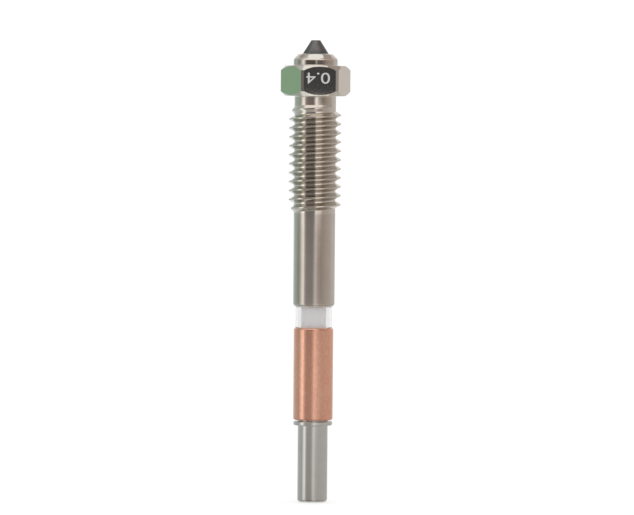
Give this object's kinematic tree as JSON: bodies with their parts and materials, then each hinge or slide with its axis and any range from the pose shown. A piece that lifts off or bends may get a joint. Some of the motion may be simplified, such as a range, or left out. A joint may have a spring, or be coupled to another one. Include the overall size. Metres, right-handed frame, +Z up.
{
  "type": "hotend nozzle and heat break",
  "caption": "Long 3-D printer nozzle and heat break in one: hard tip, plated body with hexagon and thread, thin throat in a clear sleeve, copper sleeve and flanged steel end tube.",
  "frame": {"origin": "centre of the flat end of the flanged tube, where the filament goes in", "axes": "+Z up the filament path to the tip, -Y out of the hexagon's marked flat, +X to the right of it"},
  "size_m": [0.0078, 0.007, 0.0518],
  "materials": {
    "hardened_steel": "dark hardened steel, finely turned and satin",
    "nickel_plate": "nickel plate over copper, mirror bright on hexagon and thread, satin on the shank",
    "titanium": "matt light-grey titanium",
    "clear_quartz": "clear and smooth, with polished ends",
    "copper": "bare copper, turned, satin",
    "stainless_steel": "drawn stainless tube, satin"
  },
  "bodies": {
    "root": {"tip_insert": "hardened_steel", "nozzle_body": "nickel_plate", "throat_tube": "titanium", "clear_sleeve": "clear_quartz", "copper_sleeve": "copper", "flanged_end_tube": "stainless_steel"}
  },
  "joints": []
}
